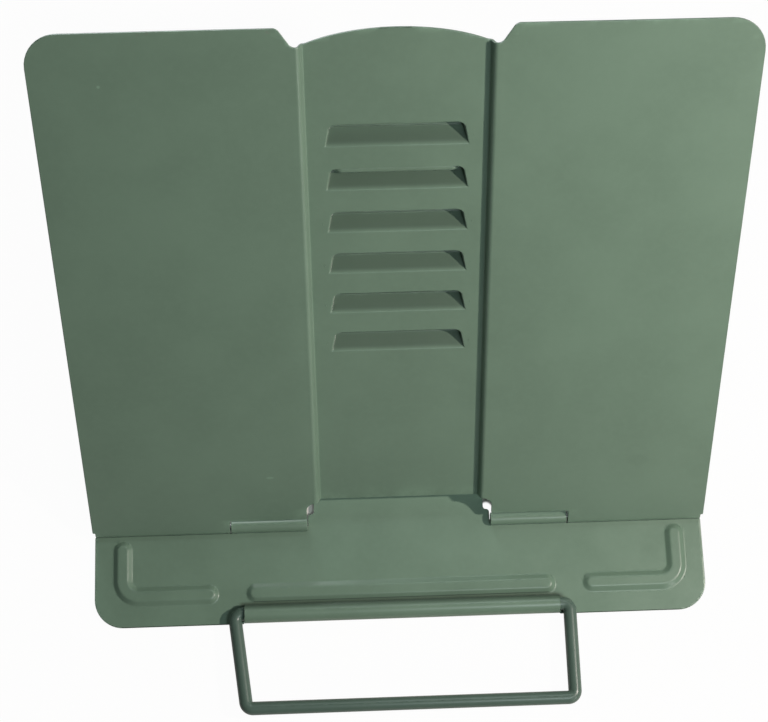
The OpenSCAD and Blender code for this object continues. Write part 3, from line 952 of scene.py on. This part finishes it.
@dataclass
class BasePlate:
    """Base: ledge with three ribs, rolled front edge, hinge knuckles and a tongue to the rear.

    The crease_ sizes say where painted shade darkens the paint behind the rolled front edge.
    """

    half_w: float = 122.0
    depth: float = 38.6
    corner_r: float = 11.5
    ledge_rear: float = 2.15
    ledge_rear_r: float = 0.5
    top: float = PAD_H + SHEET
    knuckle_outer: float = 67.3
    knuckle_bore: float = 1.55
    knuckle_turn: float = math.radians(296.8)
    knuckle_r: float = 0.2
    tongue_half: float = 34.2
    root_half: float = 36.6
    root_y: float = 0.1
    root_r: float = 0.05
    slot_front: float = 4.4
    slot_share: float = 0.98
    curl_half: float = 62.5
    curl_bore: float = 2.67
    curl_turn: float = math.radians(308.2)
    curl_gap: float = 0.25
    curl_clear: float = 0.3
    curl_corner_r: float = 0.6
    prop_inner: float = 26.2
    prop_outer: float = 33.2
    prop_bore: float = 1.65
    prop_turn: float = math.radians(298.1)
    prop_trim: float = 6.0
    prop_shoulder: float = 2.65
    prop_corner_r: float = 0.2
    tongue_r: float = 0.8
    rib: Step = Step(1.4, 1.3, 0.6, math.radians(36))
    rib_half: float = 4.0
    rib_line: float = 26.5
    mid_half: float = 62.0
    corner_x: float = 110.8
    corner_inner: float = 72.5
    corner_rear: float = 4.0
    corner_bend: float = 6.5
    part_margin: float = 0.1
    # Painted shade in the crease behind the rolled front edge
    crease_beside: float = 0.4
    crease_flat: float = 0.2
    crease_end: float = 5.2
    crease_fade: float = 1.4
    crease_lip: float = 0.9
    crease_rise: float = 2.4
    columns: tuple[Run, ...] = (
        (0, 50, 5), (53, 62.4, 0.3), (62.75, 72, 2.5), (72, 79, 0.3), (79, 102, 4), (102.5, 115.3, 0.27),
        (115.3, 121, 1.6))
    rows: tuple[Run, ...] = (
        (-34.5, -31, 0.9), (-31, -18.5, 0.27), (-18, -10, 1.6), (-10, -3.4, 0.27), (-2.3, 0, 0.6),
        (0, 8.03, 0.3), (10, 86, 6), (PROP_Y, PROP_Y + 8.6, 0.33))
    curl_step: float = 0.45
    corner_facets: int = 12

    @property
    def lip(self) -> float:
        """Front end of the flat strip that is rolled into the front edge."""
        return CURL_Y - self.curl_bore * self.curl_turn

    def corners(self) -> list[Point]:
        """Corners of the blank.

        Returns:
            X, Y and setback of each corner, anticlockwise.
        """
        slot = (self.root_half - self.tongue_half) / 2 * self.slot_share
        tab = self.knuckle_bore * self.knuckle_turn
        prop_tab = PROP_Y + self.prop_bore * self.prop_turn
        shoulder = PROP_Y - self.prop_shoulder
        cut = CURL_Y + self.curl_clear
        half = [
            (self.curl_half, self.lip, 0),
            (self.curl_half, cut, 0),
            (self.curl_half + self.curl_gap, cut, 0),
            (self.curl_half + self.curl_gap, -self.depth, self.curl_corner_r),
            (self.half_w, -self.depth, self.corner_r),
            (self.half_w, -self.ledge_rear, self.ledge_rear_r),
            (self.knuckle_outer, -self.ledge_rear, self.knuckle_r),
            (self.knuckle_outer, tab, 0),
            (KNUCKLES_START, tab, 0),
            (KNUCKLES_START, self.root_y, self.root_r),
            (self.root_half, self.root_y, self.root_r),
            (self.root_half, self.slot_front, slot),
            (self.tongue_half, self.slot_front, slot),
            (self.tongue_half, shoulder, self.tongue_r),
            (self.prop_outer, shoulder, self.prop_corner_r),
            (self.prop_outer, prop_tab, 0),
            (self.prop_inner, prop_tab, 0),
            (self.prop_inner, PROP_Y - self.prop_trim, self.tongue_r),
        ]
        return half + [(-x, y, r) for x, y, r in reversed(half)]

    def rib_distance(self, x: float, y: float) -> float:
        """Distance from a point of the ledge to the nearest rib's centre line.

        Args:
            x: Distance from the middle.
            y: Distance behind the hinge axis.

        Returns:
            The distance.
        """
        line = -self.rib_line
        end = self.mid_half - self.rib_half
        middle = math.hypot(max(0.0, x - end), y - line)
        start = self.corner_inner + self.rib_half
        bend_x, bend_y = self.corner_x - self.corner_bend, line + self.corner_bend
        along = math.hypot(max(0.0, start - x, x - bend_x), y - line)
        rear = -self.corner_rear - self.rib_half
        up = math.hypot(x - self.corner_x, max(0.0, y - rear, bend_y - y))
        found = min(middle, along, up)
        if x > bend_x and y < bend_y:
            found = min(found, abs(math.hypot(x - bend_x, y - bend_y) - self.corner_bend))
        return found

    def form(self, co: Vector) -> Vector:
        """Pressed place of a point of the blank's upper face.

        Args:
            co: Point of the flat blank.

        Returns:
            Place in the hinge's frame.
        """
        x, y, side = co.x, co.y, abs(co.x)
        if y < CURL_Y and side < self.curl_half + self.part_margin:
            out, drop = rolled(CURL_Y - y, self.curl_bore)
            return Vector((x, CURL_Y - out, CURL_Z - drop))
        if y > 0 and KNUCKLES_START - self.part_margin < side < self.knuckle_outer + self.part_margin:
            out, drop = rolled(y, self.knuckle_bore)
            return Vector((x, out, HINGE_Z - drop))
        if y > PROP_Y:
            out, drop = rolled(y - PROP_Y, self.prop_bore)
            return Vector((x, PROP_Y + out, PROP_Z - drop))
        height = self.rib.rise
        if y < 0:
            height -= self.rib.fall(self.rib_distance(side, y) - self.rib_half + self.rib.run)
        else:
            height = 0.0
        return Vector((x, y, self.top + height))

    def crease_shade_share(self, co: Vector) -> float:
        """How much painted shade darkens the paint in the crease behind the rolled front edge.

        Args:
            co: Point of the pressed base.

        Returns:
            The share, from 0 to 1.
        """
        behind = co.y - CURL_Y
        over = co.z - self.top
        if abs(co.x) > self.curl_half + self.crease_beside or not 0 < behind < self.crease_end:
            return 0.0
        if over < -self.crease_flat:
            return 0.0
        if over < self.crease_flat:
            return held((self.crease_end - behind) / self.crease_fade)
        return held((behind - self.crease_lip) / self.crease_rise)

    def build(self, material: bpy.types.Material) -> None:
        """Makes the base plate.

        Args:
            material: Paint.
        """
        blank = Blank()
        blank.outline(self.corners(), self.corner_facets)
        blank.rule_columns(self.columns)
        blank.rule(1, stations((self.lip, CURL_Y, self.curl_step), *self.rows))
        Piece("base_plate_sheet", Body.BASE, "base_plate", Slot.SHEET).place(
            blank.press(self.form, self.crease_shade_share), material)


@dataclass
class Wire:
    """Round wire along a route of straight runs joined by bends.

    A bend has about bend_steps rings for each radian, and at least least_steps.
    """

    route: list[Vector]
    bend_r: float
    radius: float
    sides: int = 28
    bend_steps: float = 9.0
    least_steps: int = 4
    end_share: float = 0.3

    def build(self) -> Mesh:
        """Draws a ring along the route: extruded on the straights, spun round the bends.

        Returns:
            Closed mesh in millimetres with rounded ends.
        """
        bm = bmesh.new()
        points = self.route
        heading = (points[1] - points[0]).normalized()
        aim = heading.to_track_quat("Z", "Y").to_matrix().to_4x4()
        bmesh.ops.create_circle(bm, segments=self.sides, radius=self.radius, cap_ends=False,
                                matrix=Matrix.Translation(points[0]) @ aim)
        edges = bm.edges[:]
        ends = [edges]
        used = 0.0
        for i in range(1, len(points)):
            heading = (points[i] - points[i - 1]).normalized()
            length = (points[i] - points[i - 1]).length - used
            onward = (points[i + 1] - points[i]).normalized() if i + 1 < len(points) else None
            turn = heading.angle(onward) if onward else 0.0
            used = self.bend_r * math.tan(turn / 2)
            edges = self.along(bm, edges, heading * (length - used))
            if onward:
                centre = points[i] + (onward - heading).normalized() * self.bend_r / math.cos(turn / 2)
                steps = max(self.least_steps, round(turn * self.bend_steps))
                spun = bmesh.ops.spin(bm, geom=edges, cent=centre, angle=turn, steps=steps,
                                      axis=heading.cross(onward).normalized(), use_merge=False)
                edges = [g for g in spun["geom_last"] if isinstance(g, bmesh.types.BMEdge)]
        ends.append(edges)
        caps = []
        for loop in ends:
            caps += bmesh.ops.contextual_create(bm, geom=loop)["faces"]
        round_edges(bm, [e for f in caps for e in f.edges], self.radius * self.end_share)
        bmesh.ops.recalc_face_normals(bm, faces=bm.faces[:])
        return bm

    @staticmethod
    def along(bm: Mesh, edges: Edges, by: Vector) -> Edges:
        """Extrudes a ring of edges along a straight run.

        Args:
            bm: The mesh.
            edges: The ring.
            by: The run.

        Returns:
            The ring at the run's end.
        """
        grown = bmesh.ops.extrude_edge_only(bm, edges=edges)["geom"]
        verts = [g for g in grown if isinstance(g, bmesh.types.BMVert)]
        bmesh.ops.translate(bm, verts=verts, vec=by)
        return [g for g in grown if isinstance(g, bmesh.types.BMEdge)
                and all(v in set(verts) for v in g.verts)]


@dataclass
class PageHolder:
    """Wire loop that turns in the rolled front edge and lies over it at rest."""

    wire_d: float = 5.2
    half: float = 66.45
    taper: float = 2.35
    lean: float = 2.1
    reach: float = 36.9
    bend_r: float = 2.8
    end_x: float = 22.5
    tilt: float = math.radians(3.679)

    def build(self, material: bpy.types.Material) -> None:
        """Makes the page holder.

        Args:
            material: Paint.
        """
        bar = self.half - self.taper
        flat = [(self.end_x, 0), (self.half, 0), (self.lean + bar, -self.reach),
                (self.lean - bar, -self.reach), (-self.half, 0), (-self.end_x, 0)]
        bm = Wire([Vector((x, y, 0)) for x, y in flat], self.bend_r, self.wire_d / 2).build()
        lift = Matrix.Translation((0, CURL_Y, CURL_Z)) @ Matrix.Rotation(-self.tilt, 4, "X")
        Piece("page_holder_wire", Body.HOLDER, "page_holder", Slot.WIRE).place(bm, material, lift)


@dataclass
class Prop:
    """Wire prop whose cross bar hooks under the second louvre from the top.

    Heel and bar are Y and Z of the last bend and of the bar.
    """

    wire_d: float = 3.2
    sides: int = 22
    end_x: float = 33.2
    foot_half: float = 23.1
    bar_half: float = 21.2
    bend_r: float = 2.4
    heel: tuple[float, float] = (111.0097, 121.3335)
    bar: tuple[float, float] = (105.4492, 124.0411)

    def build(self, material: bpy.types.Material) -> None:
        """Makes the prop.

        Args:
            material: Paint.
        """
        half = [Vector((self.end_x, PROP_Y, PROP_Z)), Vector((self.foot_half, PROP_Y, PROP_Z)),
                Vector((self.bar_half, *self.heel)), Vector((self.bar_half, *self.bar))]
        route = half + [Vector((-p.x, p.y, p.z)) for p in reversed(half)]
        bm = Wire(route, self.bend_r, self.wire_d / 2, self.sides).build()
        Piece("prop_frame_wire", Body.PROP, "prop_wire", Slot.WIRE).place(bm, material)


def round_bar(diameter: float, length: float, sides: int, at: Matrix) -> Mesh:
    """Draws a short round bar with sharp rims.

    Args:
        diameter: Its diameter.
        length: Its length.
        sides: Facets round it.
        at: Place of its middle, and its turn.

    Returns:
        The mesh in millimetres.
    """
    bm = bmesh.new()
    bmesh.ops.create_cone(bm, cap_ends=True, segments=sides, radius1=diameter / 2,
                          radius2=diameter / 2, depth=length, matrix=at)
    return bm


def rims(bm: Mesh) -> Edges:
    """Edges round the two ends of a bar."""
    return [e for e in bm.edges if e.calc_face_angle(0) > 1]


@dataclass
class HingePins:
    """Two steel pins, pressed into the base's knuckles."""

    diameter: float = 3.0
    sides: int = 36
    rim_r: float = 0.35

    def build(self, material: bpy.types.Material) -> None:
        """Makes both pins.

        Args:
            material: Steel.
        """
        middle = (KNUCKLES_START + KNUCKLES_END) / 2
        for name, sign in SIDES:
            lay = Matrix.Translation((sign * middle, 0, HINGE_Z)) @ Matrix.Rotation(math.pi / 2, 4, "Y")
            bm = round_bar(self.diameter, KNUCKLES_END - KNUCKLES_START, self.sides, lay)
            round_edges(bm, rims(bm), self.rim_r)
            Piece(f"pin_{name}", Body.BASE, f"hinge_pin_{name}", Slot.PIN).place(bm, material)


@dataclass
class FootPads:
    """Four rubber pads under the base, each with a raised rim round its sunk sole."""

    diameter: float = 10.0
    sides: int = 48
    front: tuple[float, float] = (96.0, -13.0)
    rear: tuple[float, float] = (24.6, 74.0)
    rim_r: float = 0.4
    rim_w: float = 1.2
    sole_step: tuple[float, float] = (0.3, -0.25)
    near_desk: float = 0.1
    facing_down: float = -0.99

    def build(self, material: bpy.types.Material) -> None:
        """Makes the pads.

        Args:
            material: Rubber.
        """
        for place, (x, y) in (("front", self.front), ("rear", self.rear)):
            for name, sign in SIDES:
                at = Matrix.Translation((sign * x, y, PAD_H / 2))
                bm = round_bar(self.diameter, PAD_H, self.sides, at)
                lower = [e for e in rims(bm) if e.verts[0].co.z < self.near_desk]
                round_edges(bm, lower, self.rim_r)
                sole = [f for f in bm.faces if f.normal.z < self.facing_down]
                for width, depth in ((self.rim_w, 0), self.sole_step):
                    bmesh.ops.inset_region(bm, faces=sole, thickness=width, depth=depth)
                Piece(f"pad_{place}_{name}", Body.BASE, f"foot_pad_{place}_{name}",
                      Slot.PAD).place(bm, material)


# ---------------------------------------------------------------- studio


@dataclass(frozen=True)
class Lamp:
    """Disc lamp: where it stands, what it faces, its diameter, power and linear colour."""

    name: str
    at: Point
    size: float
    power: float
    colour: Point = (1.0, 1.0, 1.0)
    aim: Point = (0.0, 55.0, 70.0)

    def build(self) -> None:
        """Creates the lamp."""
        light = bpy.data.lights.new(self.name, "AREA")
        light.shape = "DISK"
        light.size = self.size * MM
        light.energy = self.power
        light.color = self.colour
        made = bpy.data.objects.new(self.name, light)
        made.location = to_part() @ Vector(self.at)
        made.rotation_euler = (Vector(self.aim) - Vector(self.at)).to_track_quat("-Z", "Y").to_euler()
        bpy.context.scene.collection.objects.link(made)


@dataclass
class Studio:
    """Camera at the photograph's angle, pale floor, and lamps.

    The floor's shade and its fades are in metres in the part's frame: within it the floor keeps the
    natural shadow, and outside it the floor is white to the camera. The gap is a small white spot
    under the right end of the hinge.
    """

    focal: float = 1650.0
    width: int = 768
    sensor: float = 36.0
    nearest: float = 0.01
    place: Point = (-21.48, -104.4, 662.6)
    turn: Point = (14.63, -1.02, -2.03)
    room_light: float = 0.035
    room_colour: Colour = (0.92, 1.0, 1.0, 1.0)
    white: Colour = (1.0, 1.0, 1.0, 1.0)
    floor_half: float = 20.0
    floor_colour: Colour = (0.68, 0.65, 0.61, 1.0)
    floor_rough: float = 0.9
    floor_white: float = 0.97
    floor_gloss: float = 0.15
    shade_half: float = 0.121
    shade_front: float = -0.069
    shade_rear: float = 0.17
    side_fade: float = 0.012
    front_fade: float = 0.008
    rear_fade: float = 0.05
    gap_at: Point = (35.6, -30.0, 0.0)
    gap_size: Point = (3.6, 6.0, 5.0)
    gap_core: float = 0.8
    lamps: tuple[Lamp, ...] = (
        Lamp("key", (440.0, -50.0, 508.0), 30, 2.6, (1.12, 1.0, 0.93)),
        Lamp("side_soft", (450.0, -430.0, 250.0), 120, 0.5),
        Lamp("front_soft", (170.0, -250.0, 640.0), 160, 0.95, (0.88, 1.0, 1.06)),
        Lamp("rear_soft", (120.0, 600.0, 820.0), 300, 1.1, (0.9, 1.0, 1.04)),
        Lamp("back_soft", (-200.0, 700.0, 190.0), 320, 2.0, (0.94, 1.0, 1.04)),
    )

    def camera(self) -> None:
        """Creates the camera."""
        lens = bpy.data.cameras.new("camera")
        lens.sensor_width = self.sensor
        lens.lens = self.sensor * self.focal / self.width
        lens.clip_start = self.nearest
        made = bpy.data.objects.new("camera", lens)
        made.location = to_part() @ Vector(self.place)
        made.rotation_euler = [math.radians(a) for a in self.turn]
        bpy.context.scene.collection.objects.link(made)
        bpy.context.scene.camera = made

    def lights(self) -> None:
        """Creates the lamps and the room's light, which is white to the camera."""
        for lamp in self.lamps:
            lamp.build()
        world = bpy.data.worlds.new("room")
        bpy.context.scene.world = world
        s = Shader(world, "ShaderNodeOutputWorld")
        seen = s.node("ShaderNodeLightPath").outputs["Is Camera Ray"]
        room = s.node("ShaderNodeBackground", inputs={0: self.room_colour, 1: self.room_light})
        white = s.node("ShaderNodeBackground", inputs={0: self.white, 1: 1.0})
        s.close(s.node("ShaderNodeMixShader", inputs={0: seen, 1: room.outputs[0], 2: white.outputs[0]}))

    def floor(self) -> None:
        """Creates the floor, white to the camera except for the object's shadow."""
        bm = bmesh.new()
        bmesh.ops.create_grid(bm, x_segments=2, y_segments=2, size=self.floor_half)
        mesh = bpy.data.meshes.new("floor")
        bm.to_mesh(mesh)
        bm.free()
        made = bpy.data.objects.new("floor", mesh)
        bpy.context.scene.collection.objects.link(made)
        s = Shader(bpy.data.materials.new("floor_white"))
        path = s.node("ShaderNodeLightPath")
        camera, gloss = (Value(s, path.outputs[f"Is {kind} Ray"]) for kind in ("Camera", "Glossy"))
        place = s.node("ShaderNodeSeparateXYZ", inputs={0: s.place()})
        across, along = Value(s, place.outputs[0]), Value(s, place.outputs[1])
        beside = (across * across).step(self.shade_half ** 2, (self.shade_half - self.side_fade) ** 2)
        ahead = along.step(self.shade_front, self.shade_front + self.front_fade)
        behind = along.step(self.shade_rear, self.shade_rear - self.rear_fade)
        gap = s.distance(self.gap_at, self.gap_size).step(self.gap_core, 1.0)
        clear = 1 - beside * ahead * behind * gap
        matt = s.node("ShaderNodeBsdfPrincipled",
                      inputs={"Base Color": self.floor_colour, "Roughness": self.floor_rough})
        glow = s.node("ShaderNodeEmission", inputs={"Color": self.white, "Strength": 1.0})
        shown = (camera + gloss * self.floor_gloss) * clear * self.floor_white
        s.close(s.node("ShaderNodeMixShader", inputs={0: shown, 1: matt.outputs[0], 2: glow.outputs[0]}))
        mesh.materials.append(s.owner)

    def build(self) -> None:
        """Sets the whole scene."""
        self.camera()
        self.lights()
        self.floor()
        bpy.context.scene.view_settings.view_transform = "Standard"


# Paint of the sheets and of the page holder, and the marks seen in the sheets' paint
SHEET_PAINT = (112, 136, 117)
WIRE_PAINT = (86, 106, 95)
SHEET_MARKS = (
    Mark((-50.5, -16.7, 26.3), (1.9, 0.7, 0.7), 0.3),
    Mark((-99.0, 91.9, 155.8), (0.7, 0.7, 0.7), 0.4),
    Mark((-3.5, 69.6, 120.5), (0.6, 0.6, 0.6), 0.5),
    Mark((93.4, -14.7, 28.8), (5.0, 3.5, 3.5), 0.14, tint=0.72),
)


def main() -> None:
    """Builds the bookstand and its studio."""
    logging.basicConfig(level=logging.INFO, format="%(message)s")
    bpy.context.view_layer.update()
    Studio().build()
    sheet = PowderCoat("sage_powder_coat", SHEET_PAINT, 0.34, SHEET_MARKS).build()
    wire = PowderCoat("sage_wire_coat", WIRE_PAINT, 0.32).build()
    steel = DrawnSteel("drawn_steel").build()
    rubber = Rubber("pad_rubber").build()
    BackPanel().build(sheet)
    BasePlate().build(sheet)
    PageHolder().build(wire)
    Prop().build(sheet)
    HingePins().build(steel)
    FootPads().build(rubber)


if __name__ == "__main__":
    main()
